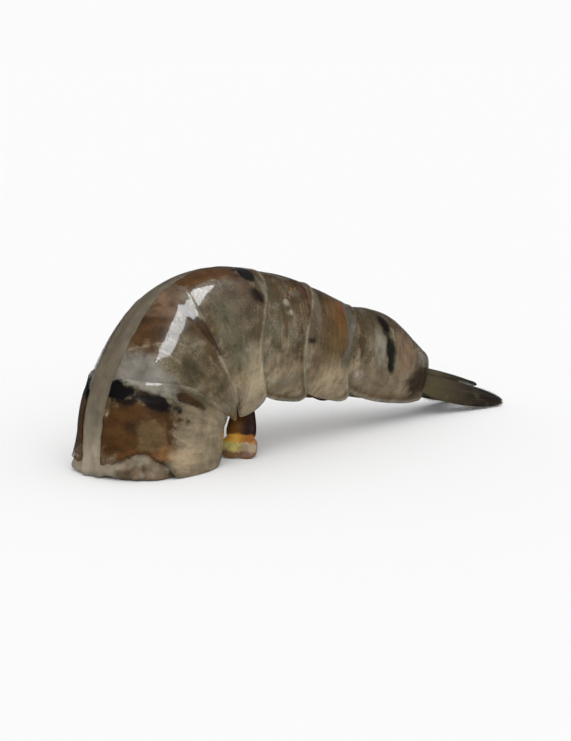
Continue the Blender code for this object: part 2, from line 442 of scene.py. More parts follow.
CUT_TONE = (0.268, 0.229, 0.165)
FLESH_TONE = (0.122, 0.100, 0.068)
FIBRE_TONE = (0.30, 0.27, 0.22)
BLUSH = (0.125, 0.070, 0.033)
# Painted shade for the hollows between the flesh's lumps.
PAINTED_HOLLOW_SHADE = (0.060, 0.034, 0.014)


def finish_flesh():
    """Grey and half clear: pale near the cut, with pink low down it and brown painted shade in the
    hollows there.
    """
    finish = Finish(
        "raw flesh",
        Subsurface_Weight=0.35,
        Subsurface_Radius=(1.0, 0.75, 0.55),
        Subsurface_Scale=1.6 * MM,
        IOR=1.4,
        Coat_Roughness=0.06,
        Coat_IOR=1.33,
    )
    layout, station, around, bulge = finish.measured("layout")
    cloud = finish.grain(3.2 * MM, 3.0)
    film = finish.grain(1.1 * MM)
    fibre = finish.grain(0.5 * MM, vector=finish.stretched(layout, (0.25, 1.0, 0), 0.35))
    film_swing = film - 0.5
    low_end = finish.rise(station, 6.5 * MM, 4.0 * MM) * finish.rise(around, 3 * MM, 5 * MM)
    colour = finish.layered(
        finish.blend(finish.rise(station, 2 * MM, 12 * MM), CUT_TONE, FLESH_TONE),
        (fibre, 0.55, 0.8, 0.2, FIBRE_TONE),
        (finish.grain(3.6 * MM), 0.44, 0.66, low_end * 0.75, BLUSH),
        # Painted shade: dark brown laid into the hollows between the lumps near the cut.
        (bulge + 0.6 * MM * film_swing, 0.08 * MM, -0.30 * MM, low_end * 0.8, PAINTED_HOLLOW_SHADE),
    )
    finish.shade(
        Base_Color=finish.dimmed(colour, 1.0 + 0.9 * (cloud - 0.5) + 0.5 * film_swing),
        Roughness=0.26 + 0.2 * cloud,
        Coat_Weight=0.25 + 0.5 * cloud,
        Normal=finish.bump(cloud + 0.35 * fibre + 0.4 * film, 0.14 * MM),
    )
    return finish.material


flesh = shape_ball("flesh_muscle", 144, 230, muscle_point)
smooth_shaded(flesh, 60)
flesh.data.materials.append(finish_flesh())
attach(flesh, "root")
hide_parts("flesh")

# ------------------------------------------------------------
# Shell plates: each of the first five rings is slit along the back into a left and a right
# plate. They are thin, half clear horn, glossy with wet, and each lies over the front of
# the next. The pigment sits in patches and in dark stripes across the back.

# Rear edge, how far it sweeps back over the back, at mid side and down the side plates, how
# deep the side plates hang, and how much deeper still halfway along them.
Ring = namedtuple("Ring", "joint back_sweep middle_sweep side_sweep hang deeper")
RINGS = (
    Ring(*mm(13.0, 0.4, 2.6, 7.0, 4.2, 0.0)),
    Ring(*mm(22.2, 3.0, 0.8, 7.0, 4.6, 2.2)),
    Ring(*mm(34.0, 2.6, -1.2, 8.0, 4.6, 2.6)),
    Ring(*mm(45.6, 3.0, -1.2, 8.0, 3.8, 0.0)),
    Ring(*mm(58.2, 2.0, -1.2, 7.5, 2.8, 0.0)),
    Ring(*mm(83.1, 1.5, 0.0, 1.5, 1.5, 0.0)),
)

# How much deeper the hang gets along a side plate, front to rear, and where it fades again.
DEEPER_RISE = (0.15, 0.45)
DEEPER_FALL = (0.50, 1.0)

# The first plates' front edge was torn with the head, and the left one has a notch. Below mid
# side it comes further forward, but never past the cut.
FRONT_EDGE = 2.2 * MM
FRONT_NOTCH = {-1: 2.6 * MM, 1: 0.2 * MM}
FRONT_NOTCH_MIDDLE = 46.0
FRONT_NOTCH_REACH = 22.0
FRONT_FORWARD = 1.9 * MM
FRONT_TO_CUT = 0.2 * MM

SHELL_WALL = 0.20 * MM
SHELL_BEVEL = 0.09 * MM
SHELL_GAP = 0.06 * MM
SHELL_FLARE = 0.42 * MM
SHELL_LIP = 0.14 * MM
RIM_ROLL = 0.18 * MM
RIM_GROOVE = 0.06 * MM
SLIT_LIP = 0.08 * MM
SLIT_LIP_WIDTH = 0.8 * MM
SLIT_WANDER = 0.022
CORNER_ROUNDING = {-1: 0.6 * MM, 1: 1.8 * MM}
LAST_RIM_ROLL = 0.50 * MM
KEEL_HEIGHT = 0.5 * MM
SHELL_OVERLAP = 2.0 * MM
PLATE_SPAN = 2.4
SIDE_ANGLE = math.radians(126)
LOBE_ANGLE = math.radians(146)
LOBE_PEAK = 0.62
REAR_CROWDING = 1.3
FAR = 1.0
SIDES = (("left", -1), ("right", 1))

# The plates' unevenness: how high it stands, in waves of what size.
PLATE_WAVES = (
    mm(0.16, 7.5),
    mm(0.05, 2.6),
    mm(0.016, 1.1),
)

# Wet beads and blisters on the left side, in millimetres: station, distance round from the
# back, radius and height.
BEADS = (
    (31.7, 2.8, 0.5, 0.28),
    (39.2, 9.2, 0.6, 0.34),
    (40.0, 10.8, 0.5, 0.30),
    (61.6, 19.3, 0.8, 0.38),
    (60.5, 11.9, 0.5, 0.30),
    (20.2, 15.0, 0.6, 0.15),
)


def rear_edge(number, angle):
    """A plate's rear edge: swept back over the back, at mid side and again down the side plates."""
    ring = RINGS[number]
    sweep = ring.back_sweep if math.cos(angle) > 0 else ring.side_sweep
    return ring.joint + sweep * math.cos(angle) ** 2 + ring.middle_sweep * math.sin(angle) ** 4


def front_edge(number, angle, side):
    """A plate's front edge: under the plate in front of it, or torn on the first ring."""
    if number > 0:
        return rear_edge(number - 1, angle) - SHELL_OVERLAP
    degrees = math.degrees(abs(angle))
    notch = FRONT_NOTCH[side] * bell(degrees - FRONT_NOTCH_MIDDLE, FRONT_NOTCH_REACH)
    torn = 0.5 * MM * noise.noise(Vector((degrees / 9, 3.3 * side, 0)))
    torn += 0.35 * MM * noise.noise(Vector((degrees / 2.7, 8.1 * side, 0)))
    torn *= 1 - 0.8 * smooth(degrees, 60, 80)
    forward = FRONT_FORWARD * smooth(degrees, 66, 84)
    foremost = FLESH_FRONT + FRONT_TO_CUT - 1.0 * MM * math.cos(angle)
    return max(foremost, FRONT_EDGE + notch + torn - forward)


def slit_edge(station, side):
    """The angle of a plate's edge along the slit, a little uneven, positive down its own side."""
    wander = SLIT_WANDER * noise.noise(Vector((station / (1.3 * MM), side * 5.0, 0)))
    return slit_angle(station, side) * side + wander


def lobe(u):
    """Outline of a side plate's lower edge: 0 at both corners, 1 at its lowest point."""
    along = (u - LOBE_PEAK) / (LOBE_PEAK if u < LOBE_PEAK else 1 - LOBE_PEAK)
    return math.sqrt(max(0.0, 1 - abs(along) ** 3))


def rim_relief(before_rim, off_slit):
    """The lip along a plate's rear rim, the edge that rolls in, and the groove before them."""
    relief = SHELL_LIP * bell(before_rim, 0.55 * MM) * off_slit
    relief -= RIM_ROLL * (1 - smooth(before_rim, 0.0, 0.4 * MM))
    return relief - RIM_GROOVE * bell(before_rim - 1.6 * MM, 0.5 * MM)


def last_ring_relief(station, angle, before_rim):
    """The last ring's keel, and its rim that closes in on the tail fan."""
    keel = KEEL_HEIGHT * bell(angle, 0.13) * smooth(station, 60 * MM, 66 * MM)
    return keel - LAST_RIM_ROLL * (1 - smooth(before_rim, 0.0, 1.5 * MM)) ** 2


def bead_relief(station, angle, side):
    """The beads and blisters, which the right plates don't have."""
    relief = 0.0
    for bead_station, girth, radius, height in BEADS:
        away = math.hypot(station - bead_station * MM, abs(angle) * NOMINAL_GIRTH - girth * MM)
        if side <= 0 and away < 3 * radius * MM:
            relief += height * MM * math.exp(-((away / (radius * MM)) ** 4))
    return relief


def plate_place(number, u, v, side):
    """A point on a plate's inner face, with its layout and its distances from the edges.

    u runs front to rear, and v from the slit to the lower edge. Side 0 is the last ring, where
    v runs from one lower edge over the back to the other.
    """
    ring = RINGS[number]
    lower = SIDE_ANGLE + (LOBE_ANGLE - SIDE_ANGLE) * lobe(u)
    if side:
        front, rear = front_edge(number, 0.0, side), rear_edge(number, 0.0)
        opening = slit_edge(front + (rear - front) * u, side)
        angle = opening + (lower - opening) * v
        from_slit = v * (lower - opening) * NOMINAL_GIRTH
    else:
        angle = lower * (2 * v - 1)
        from_slit = FAR
    front, rear = front_edge(number, angle, side), rear_edge(number, angle)
    if side:
        rear -= CORNER_ROUNDING[side] * bell(from_slit, CORNER_ROUNDING[side])
    station = front + (rear - front) * u
    before_rim = rear - station
    off_slit = smooth(from_slit, 0.0, 3.0 * MM)
    lift = FLESH_LIFT + SHELL_GAP + SHELL_FLARE * u**0.9 * (0.75 + 0.25 * off_slit)
    lift += rim_relief(before_rim, off_slit)
    lift += SLIT_LIP * bell(from_slit, SLIT_LIP_WIDTH)
    if not side:
        lift += last_ring_relief(station, angle, before_rim)
    turned = angle * (side or 1)
    lift += front_splay(station, turned) + bead_relief(station, angle, side)
    hang = ring.hang + ring.deeper * smooth(u, *DEEPER_RISE) * (1 - smooth(u, *DEEPER_FALL))
    place = body_point(station, turned, lift, hang)
    uneven = sum(height * ripple(place, size) for height, size in PLATE_WAVES)
    place = body_point(station, turned, lift + uneven, hang)
    above_hem = 1 - v if side else (1 - abs(2 * v - 1)) / 2
    edge = min(before_rim, above_hem * PLATE_SPAN * NOMINAL_GIRTH)
    behind_tear = station - front if number == 0 else FAR
    return place, (place.x, abs(angle) * NOMINAL_GIRTH, from_slit), (edge, behind_tear, 0)


def add_plate(name, number, side, columns, rows):
    """One plate: a grid bent to its place, thickened outwards and its edges rounded."""
    grid = bpy.ops.mesh.primitive_grid_add
    piece = start_piece(name, grid, x_subdivisions=columns, y_subdivisions=rows, size=1)
    piece.data.attributes.new("layout", "FLOAT_VECTOR", "POINT")
    piece.data.attributes.new("edge", "FLOAT_VECTOR", "POINT")
    layout = piece.data.attributes["layout"]
    edge = piece.data.attributes["edge"]
    for vertex in piece.data.vertices:
        u = 1 - (0.5 - vertex.co.x) ** REAR_CROWDING
        v = 0.5 - vertex.co.y if side < 0 else 0.5 + vertex.co.y
        place, layout_there, edge_there = plate_place(number, u, v, side)
        layout.data[vertex.index].vector = layout_there
        edge.data[vertex.index].vector = edge_there
        vertex.co = curled(place)
    for kind, settings in (
        ("SOLIDIFY", {"thickness": SHELL_WALL, "offset": 1.0, "use_even_offset": True}),
        ("BEVEL", {"width": SHELL_BEVEL, "segments": 2, "limit_method": "ANGLE"}),
    ):
        modifier = piece.modifiers.new(kind.lower(), kind)
        for setting, value in settings.items():
            setattr(modifier, setting, value)
        bpy.ops.object.modifier_apply(modifier=modifier.name)
    smooth_shaded(piece, 50)
    return piece


# Tones of the horn itself.
UPPER = (0.104, 0.064, 0.030)
SIDE_TONE = (0.138, 0.104, 0.058)
LOW_TONE = (0.255, 0.195, 0.115)
WARM_TONE = (0.092, 0.052, 0.020)
COOL_TONE = (0.158, 0.146, 0.092)
SMOKE = (0.082, 0.062, 0.034)
GREY = (0.165, 0.150, 0.118)
PALE_TONE = (0.310, 0.245, 0.155)
DUST_TONE = (0.42, 0.36, 0.26)
CREASE_TONE = (0.34, 0.29, 0.21)
RIM_TONE = (0.240, 0.212, 0.152)
COPPER = (0.115, 0.056, 0.017)
TEAR_TONE = (0.075, 0.036, 0.012)

# Tones of the marks.
BROWN = (0.055, 0.022, 0.003)
DARK_BROWN = (0.038, 0.016, 0.004)
BLACK = (0.006, 0.003, 0.002)
ORANGE = (0.175, 0.066, 0.013)
PINK = (0.190, 0.118, 0.072)
MEMBRANE = (0.310, 0.284, 0.242)
# Painted glint: a pale tone laid on wet beads in place of their highlights.
PAINTED_GLINT_TONE = (0.48, 0.44, 0.34)

# Marks, a group for each ring, in millimetres: station and distance round from the back of its
# middle, half length along the body, half length round it, tone, strength, softness of its
# edge, how fully it covers the flesh, and its turn in degrees if it has one. Most are the
# horn's own colour; a few are painted highlights, a painted reflection and painted shade.
Mark = namedtuple(
    "Mark", "station girth half_length half_girth tone strength softness cover turn", defaults=(0,)
)
MARKS = (
    (
        (7.0, 20.0, 8.0, 6.4, PALE_TONE, 0.75, 0.9, 0.8),
        (8.0, 6.6, 4.2, 6.6, BROWN, 0.95, 0.35, 1.0),
        (7.4, 9.4, 2.5, 2.3, (0.125, 0.077, 0.032), 0.85, 0.35, 0.95),
        (5.0, 12.0, 1.4, 1.4, (0.240, 0.120, 0.045), 0.75, 0.7, 0.9),
        (4.6, 8.0, 0.8, 3.4, ORANGE, 0.55, 0.9, 0.95),
        (4.2, 15.0, 2.0, 2.1, (0.42, 0.32, 0.20), 0.8, 0.8, 0.8),
        (13.5, 6.5, 0.8, 8.0, (0.255, 0.235, 0.190), 0.9, 0.6, 0.7),
        # Dark olive patch by the joint with ring 2: partly a blotch, partly painted shade where the
        # plates meet.
        (14.6, 16.0, 1.2, 2.6, (0.080, 0.064, 0.034), 0.7, 0.9, 0.9),
        (12.0, 3.6, 1.05, 3.3, (0.003, 0.002, 0.002), 1.0, 0.6, 1.0),
        (11.9, 9.0, 0.8, 3.8, BLACK, 1.0, 0.7, 1.0, 2),
        (13.6, 14.2, 0.7, 2.4, DARK_BROWN, 0.95, 0.7, 1.0),
    ),
    (
        (14.0, 5.0, 2.2, 9.0, MEMBRANE, 0.95, 0.5, 0.35),
        (19.9, 2.7, 3.5, 3.6, (0.064, 0.029, 0.009), 0.93, 0.35, 1.0),
        (18.4, 3.9, 1.7, 1.5, DARK_BROWN, 0.6, 0.9, 1.0),
        (21.4, 3.2, 0.7, 3.0, PINK, 0.55, 0.8, 0.9, -12),
        (23.6, 1.6, 1.8, 2.4, PINK, 0.75, 0.6, 0.8),
        # Dark olive patch by the joint with ring 1: partly a blotch, partly painted shade where the
        # plates meet.
        (17.3, 13.5, 3.0, 4.0, (0.070, 0.055, 0.027), 0.7, 1.0, 0.9),
        (19.6, 18.5, 3.0, 3.0, (0.085, 0.064, 0.032), 0.65, 1.0, 0.9),
        # Paler low down, and partly painted light that brightens the shade under the curve of the side.
        (26.5, 22.0, 4.2, 6.0, (0.36, 0.30, 0.20), 0.8, 0.9, 0.85),
        (24.4, 9.5, 0.7, 6.5, (0.190, 0.180, 0.125), 0.6, 0.8, 0.8, -4),
        (22.9, 10.5, 0.55, 6.5, DARK_BROWN, 0.9, 0.7, 0.9, -4),
    ),
    (
        (28.6, 9.0, 3.8, 4.6, (0.112, 0.088, 0.060), 0.6, 0.9, 0.85),
        (26.6, 13.0, 1.8, 5.0, (0.118, 0.112, 0.066), 0.6, 0.9, 0.85),
        (29.0, 1.2, 3.5, 3.2, (0.100, 0.038, 0.006), 0.95, 0.5, 1.0),
        (34.4, 9.5, 0.6, 6.5, (0.190, 0.190, 0.130), 0.6, 0.7, 0.8, -4),
        (32.9, 2.7, 1.3, 2.9, BLACK, 1.0, 0.6, 1.0, 10),
        (32.8, 8.6, 1.0, 1.9, (0.012, 0.007, 0.004), 1.0, 0.8, 1.0, -12),
        (30.8, 6.2, 0.8, 1.6, (0.105, 0.060, 0.036), 0.6, 0.9, 0.95),
        (33.2, 21.0, 4.5, 4.8, (0.42, 0.34, 0.22), 0.85, 0.9, 0.85),
        (40.6, 24.6, 2.0, 1.6, BROWN, 0.8, 0.8, 1.0),
    ),
    (
        (44.2, 4.0, 1.2, 5.0, BROWN, 0.6, 0.8, 0.9),
        (45.0, 5.6, 0.6, 4.8, (0.070, 0.024, 0.010), 0.9, 0.8, 0.95),
        (42.6, 12.0, 0.8, 3.0, BROWN, 0.4, 0.9, 0.9),
        (40.2, 7.6, 0.45, 0.45, (0.110, 0.018, 0.006), 0.8, 0.6, 1.0),
        (41.6, 6.2, 0.35, 0.5, (0.240, 0.120, 0.020), 0.7, 0.6, 1.0),
        (38.8, 13.0, 0.5, 0.7, (0.110, 0.040, 0.012), 0.6, 0.8, 1.0),
        # Painted glints on two of the wet beads.
        (39.2, 9.2, 0.6, 0.5, PAINTED_GLINT_TONE, 0.6, 1.0, 0.9),
        (40.0, 10.8, 0.4, 0.4, PAINTED_GLINT_TONE, 0.6, 1.0, 0.9),
    ),
    (
        (53.0, 11.0, 6.0, 9.0, (0.105, 0.062, 0.024), 0.85, 1.2, 0.85),
        (54.0, 7.6, 2.4, 5.8, (0.170, 0.074, 0.020), 0.7, 1.6, 0.9),
        (55.4, 5.6, 0.8, 2.4, (0.210, 0.070, 0.032), 0.6, 1.2, 0.9),
        (52.6, 15.0, 1.6, 3.0, (0.135, 0.088, 0.030), 0.6, 1.2, 0.9),
        (47.3, 7.0, 1.0, 5.5, (0.185, 0.160, 0.125), 0.6, 0.9, 0.8, -4),
        (54.0, 22.0, 5.0, 4.4, (0.37, 0.29, 0.185), 0.8, 0.9, 0.85),
        (46.0, 14.6, 0.9, 0.4, (0.020, 0.013, 0.004), 0.9, 0.9, 1.0),
        (50.0, 3.0, 1.4, 3.0, BROWN, 0.4, 0.8, 0.9),
        (57.0, 9.0, 1.2, 9.5, GREY, 0.85, 0.5, 0.55),
    ),
    (
        (62.5, 5.5, 3.2, 4.6, (0.082, 0.050, 0.022), 0.6, 1.2, 0.95),
        (66.0, 19.5, 6.5, 3.6, (0.185, 0.140, 0.090), 0.6, 1.0, 0.85),
        (74.6, 11.5, 3.2, 5.5, (0.270, 0.170, 0.105), 0.6, 1.1, 0.85),
        # Painted reflection: a pale bluish sheen beside the black stripe.
        (66.2, 12.4, 1.9, 3.8, (0.30, 0.275, 0.210), 0.75, 0.8, 0.7, -10),
        (67.9, 7.0, 1.5, 2.7, BLACK, 1.0, 0.8, 1.0, -10),
        (69.4, 13.0, 1.4, 4.3, (0.010, 0.009, 0.004), 1.0, 0.7, 1.0, -14),
        (60.6, 12.0, 0.9, 4.6, BROWN, 0.6, 0.8, 0.9),
        # Painted glint on the wet bead low down this ring.
        (61.6, 19.3, 1.2, 1.1, (0.38, 0.31, 0.24), 0.7, 1.2, 0.9),
        (80.5, 17.0, 3.0, 5.0, (0.026, 0.012, 0.005), 0.9, 1.0, 1.0, 20),
    ),
)


class ShellFinish(Finish):
    """One ring's horn: mottled, paler down the sides, with the ring's own marks laid over it."""

    def __init__(self, name, marks):
        super().__init__(name, IOR=1.45, Specular_IOR_Level=0.2, Coat_Roughness=0.07, Coat_IOR=1.5)
        self.layout, _, self.around, self.from_slit = self.measured("layout")
        _, self.edge, self.behind_tear, _ = self.measured("edge")
        self.cloud = self.grain(3.2 * MM)
        self.blotch = self.grain(1.3 * MM, 3.0)
        self.fleck = self.grain(0.5 * MM, 3.0)
        self.dust = self.grain(0.2 * MM)
        self.cloud_swing = self.cloud - 0.5
        self.blotch_swing = self.blotch - 0.5
        self.across_bands = self.stretched(self.layout, (1.0, 0.3, 0), 0.2)
        self.streak = self.grain(1.1 * MM, vector=self.across_bands)
        self.low_share = self.rise(self.around + 7.0 * MM * self.cloud_swing, 13 * MM, 21 * MM)
        colour, rim = self.rimmed(self.crazed(self.mottled()))
        colour, cover = self.marked(colour, marks)
        colour, frayed = self.frayed(colour)
        shade = 1.0 + 1.2 * self.cloud_swing + 1.2 * (self.streak - 0.5)
        shade = shade + 0.6 * (self.fleck - 0.5) + 0.35 * (self.dust - 0.5)
        self.shade(
            Base_Color=self.dimmed(colour, shade),
            Roughness=0.26 + 0.2 * self.blotch,
            Coat_Weight=0.6 + 0.6 * self.cloud,
            Alpha=cover - 0.1 * rim - 0.25 * frayed,
            Normal=self.bump(0.7 * self.blotch + 0.2 * self.fleck, 0.12 * MM),
        )

    def mottled(self):
        """Darkest on the back and palest low down, with drifts, streaks, washes and blotches."""
        side_share = self.rise(self.around + 6.0 * MM * self.cloud_swing, 4 * MM, 13 * MM)
        drift = self.grain(7.0 * MM, 1.0)
        wash = self.grain(2.3 * MM, vector=self.stretched(self.layout, (0.45, 1.0, 0), -0.5))
        return self.layered(
            self.blend(self.low_share, self.blend(side_share, UPPER, SIDE_TONE), LOW_TONE),
            (drift, 0.50, 0.68, 0.5, WARM_TONE),
            (drift, 0.50, 0.32, 0.5, COOL_TONE),
            (self.streak, 0.50, 0.72, 0.55, WARM_TONE),
            (wash, 0.52, 0.66, 0.45, GREY),
            (wash, 0.46, 0.34, 0.5, SMOKE),
            (self.blotch, 0.55, 0.78, 0.4, PALE_TONE),
            (self.dust + 0.5 * self.cloud, 0.78, 1.0, 0.3, DUST_TONE),
        )

    def crazed(self, colour):
        """Fine pale creases here and there."""
        creases = self.node(
            "ShaderNodeTexVoronoi",
            {"feature": "DISTANCE_TO_EDGE"},
            {"Vector": self.across_bands, "Scale": 1 / (3.2 * MM)},
            output="Distance",
        )
        here = self.rise(self.cloud, 0.40, 0.60) * 0.35
        return self.layered(colour, (creases + 0.10 * self.blotch_swing, 0.06, 0.01, here, CREASE_TONE))

    def rimmed(self, colour):
        """Copper along the slit, and a pale rear rim with a warm band before it."""
        uneven = 0.5 * MM * self.blotch_swing
        off_rim = self.rise(self.edge, 0.6 * MM, 0.9 * MM) * 0.6
        colour = self.layered(
            colour,
            (self.from_slit + uneven, 0.6 * MM, 0.2 * MM, 0.6, COPPER),
            (self.edge, 2.2 * MM, 1.0 * MM, off_rim, WARM_TONE),
        )
        rim = self.rise(self.edge + uneven, 0.75 * MM, 0.4 * MM)
        return self.blend(rim * (0.35 + 0.8 * self.cloud), colour, RIM_TONE), rim

    def marked(self, colour, marks):
        """The ring's marks, each with a ragged edge, and how fully the horn covers the flesh."""
        ragged = self.cloud + 0.6 * self.blotch + 0.15 * self.fleck - 0.875
        cover = 0.72 + 0.18 * self.low_share
        for row in marks:
            mark = Mark(*row)
            local = self.node(
                "ShaderNodeMapping",
                {"vector_type": "TEXTURE"},
                {
                    "Vector": self.layout,
                    "Location": (mark.station * MM, mark.girth * MM, 0),
                    "Rotation": (0, 0, math.radians(mark.turn)),
                    "Scale": (mark.half_length * MM, mark.half_girth * MM, 1.0e6),
                },
            )
            reach = self.node("ShaderNodeVectorMath", {"operation": "LENGTH"}, {0: local}, "Value")
            outer, inner = 1 + mark.softness / 2, 1 - mark.softness / 2
            mask = self.rise(reach + 1.4 * ragged, outer, inner) * mark.strength
            colour = self.blend(mask, colour, mark.tone)
            cover = cover + mask * (mark.cover - cover)
        return colour, cover

    def frayed(self, colour):
        """The torn front edge of the first ring, brown and thin."""
        frayed = self.rise(self.behind_tear + 1.2 * MM * self.blotch_swing, 0.9 * MM, 0.3 * MM)
        frayed = frayed * self.rise(self.around, 14 * MM, 11 * MM)
        return self.blend(frayed * 0.8, colour, TEAR_TONE), frayed


shell_materials = [
    ShellFinish(f"shell of ring {number}", marks).material for number, marks in enumerate(MARKS, 1)
]
for number in range(len(RINGS) - 1):
    for side_name, side in SIDES:
        plate = add_plate(f"plate_{number + 1}_{side_name}", number, side, 64, 80)
        plate.data.materials.append(shell_materials[number])
        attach(plate, "root")
        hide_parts(f"shell_{number + 1}_{side_name}")

# ------------------------------------------------------------
# Last ring: the sixth plate isn't slit. It wraps the narrow end of the tail in one piece,
# with a low keel along the back, and holds the tail fan.

last_ring = add_plate("plate_6", len(RINGS) - 1, 0, 100, 130)
last_ring.data.materials.append(shell_materials[-1])
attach(last_ring, "root")
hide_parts("shell_6")

# ------------------------------------------------------------
# Tail fan: a pointed middle blade with two thin oval blades on each side, folded together.
# They are dark horn, nearly black at the tips. The middle one has a groove along it, the
# others a rib and a fringe of fine bristles round the rear edge.

FAN_STATION = 80.4 * MM
FAN_DROOP = math.radians(1.4)
FAN_ROLL = 0.2
RIB_WIDTH = 0.5 * MM
BRISTLE_LENGTH = 0.8 * MM
BRISTLE_WIDTH = 0.05 * MM
BRISTLES = 110
FLOOR_GAP = 0.02 * MM

# Length, half width, half thickness, distance off the middle, rise over the spine, spread and
# outward tilt in degrees, how fully it widens, how bluntly it ends, and its rib's height.
Blade = namedtuple(
    "Blade", "length half_width half_thickness offset rise spread tilt fullness bluntness rib"
)
TELSON = Blade(23.0 * MM, 1.85 * MM, 1.2 * MM, 0.0 * MM, 1.5 * MM, 0.0, 0.0, 10.0, 1.8, -0.35 * MM)
FAN_BLADES = {
    "inner": Blade(24.0 * MM, 2.0 * MM, 0.4 * MM, 1.73 * MM, -1.5 * MM, 5.0, 65.0, 5.0, 3.5, 0.3 * MM),
    "outer": Blade(25.0 * MM, 2.7 * MM, 0.4 * MM, 2.75 * MM, -0.9 * MM, 7.0, 65.0, 5.0, 3.0, 0.3 * MM),
}


def ball_place(point):
    """Where a point of a unit ball lies: its share of the way between the poles, and its angle."""
    return (1 + max(-1.0, min(1.0, point.z))) / 2, math.atan2(point.y, point.x)


def blade_outline(along, half_width, fullness, bluntness):
    """Half width of a blade, from its root at 0 to its tip at 1."""
    return half_width * math.sqrt((1 - (1 - along) ** fullness) * (1 - along**bluntness))


def blade_swell(along):
    """Thickness of a blade, from 0 at its root to 1 halfway and 0 at its tip."""
    return 2 * math.sqrt(along * (1 - along))


def blade_point(blade, along, angle):
    """A point of a blade that lies flat along X from its root."""
    across = math.sin(angle) * blade_outline(along, blade.half_width, blade.fullness, blade.bluntness)
    height = math.cos(angle) * blade.half_thickness * blade_swell(along)
    height -= FAN_ROLL * across**2 / blade.half_width
    if math.cos(angle) > 0:
        ends = smooth(along, 0.0, 0.1) * (1 - smooth(along, 0.8, 1.0))
        height += blade.rib * bell(across, RIB_WIDTH) * ends
    return Vector((along * blade.length, across, height))


def blade_stand(blade, side):
    """Turns a flat blade to its place in the fan, on the straight body."""
    return (
        Matrix.Translation((FAN_STATION, blade.offset * side, blade.rise))
        @ Matrix.Rotation(math.radians(blade.spread) * side, 4, "Z")
        @ Matrix.Rotation(FAN_DROOP, 4, "Y")
        @ Matrix.Rotation(-math.radians(blade.tilt) * side, 4, "X")
    )


def above_floor(place, gap):
    """A point, raised where it would lie nearer the floor than this."""
    return Vector((place.x, place.y, max(place.z, gap)))


def add_blade(name, blade, side):
    stand = blade_stand(blade, side)

    def place_of(point):
        place = blade_point(blade, *ball_place(point))
        return above_floor(curled(stand @ place), FLOOR_GAP), place

    piece = shape_ball(name, 64, 80, place_of)
    smooth_shaded(piece, 60)
    return piece


def bristle_corners(blade, side, index):
    """Root, flanks and tip of one bristle of the fringe, on the flat blade."""
    share = (index + 0.5) / BRISTLES
    edge = -1 if share < 0.5 else 1
    along = 0.55 + 0.449 * math.sin(math.pi * share)
    root = blade_point(blade, along, edge * math.pi / 2)
    outward = Vector((math.sin(math.pi * share), edge * abs(math.cos(math.pi * share)), -0.1))
    outward.y += 0.25 * noise.noise(Vector((index * 0.37, blade.length / MM, side)))
    length = BRISTLE_LENGTH * (0.75 + 0.5 * noise.noise(Vector((index * 0.9, 2.0, side))))
    tip = root + outward.normalized() * length
    flank = Vector((-outward.y, outward.x, 0)).normalized() * BRISTLE_WIDTH
    return root - flank, root + flank, tip, root + Vector((0, 0, BRISTLE_WIDTH))


def add_bristles(name, blade, side):
    """A fringe of fine flat hairs round the rear half of a blade."""
    stand = blade_stand(blade, side)
    builder = bmesh.new()
    for index in range(BRISTLES):
        low_left, low_right, tip, top = (
            builder.verts.new(above_floor(curled(stand @ corner), FLOOR_GAP))
            for corner in bristle_corners(blade, side, index)
        )
        builder.faces.new((low_left, low_right, top))
        builder.faces.new((low_right, tip, top))
        builder.faces.new((tip, low_left, top))
        builder.faces.new((low_left, tip, low_right))
    bmesh.ops.recalc_face_normals(builder, faces=builder.faces)
    mesh = bpy.data.meshes.new(name)
    builder.to_mesh(mesh)
    builder.free()
    piece = bpy.data.objects.new(name, mesh)
    bpy.context.scene.collection.objects.link(piece)
    return piece


HORN = (0.075, 0.060, 0.026)
HORN_TIP = (0.014, 0.009, 0.007)
HORN_STREAK = (0.100, 0.056, 0.018)
HORN_CLOUD = (0.14, 0.105, 0.05)


def finish_fan():
    finish = Finish("dark tail horn", IOR=1.5, Coat_Roughness=0.08)
    layout, along, _, _ = finish.measured("layout")
    cloud = finish.grain(2.6 * MM, 3.0)
    streak = finish.grain(0.35 * MM, vector=finish.stretched(layout, (0.12, 1.0, 1.0)))
    darkening = finish.rise(along + 8 * MM * (cloud - 0.5), 3 * MM, 20 * MM)
    colour = finish.layered(
        finish.blend(darkening, HORN, HORN_TIP),
        (streak, 0.5, 0.7, 0.4, HORN_STREAK),
        (cloud, 0.52, 0.75, 0.45, HORN_CLOUD),
    )
    finish.shade(
        Base_Color=colour,
        Roughness=0.28 + 0.2 * cloud,
        Coat_Weight=0.3 + 0.4 * cloud,
        Normal=finish.bump(streak + 0.4 * cloud, 0.10 * MM),
    )
    return finish.material


fan_material = finish_fan()
telson = add_blade("fan_middle", TELSON, 0)
telson.data.materials.append(fan_material)
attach(telson, "root")
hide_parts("telson")
for blade_name, shape in FAN_BLADES.items():
    for side_name, side in SIDES:
        blade = add_blade(f"fan_{side_name}_{blade_name}", shape, side)
        blade.data.materials.append(fan_material)
        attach(blade, "root")
        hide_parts(f"uropod_{side_name}_{blade_name}")
        fringe = add_bristles(f"fringe_{side_name}_{blade_name}", shape, side)
        fringe.data.materials.append(fan_material)
        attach(fringe, "root")

# ------------------------------------------------------------
# Swimmerets: a pair of soft legs under each of the first five rings. Each is a flattened
# amber stalk, darker on one side, with a golden joint at its end and two glassy paddles that
# are red brown at their ends and edges.

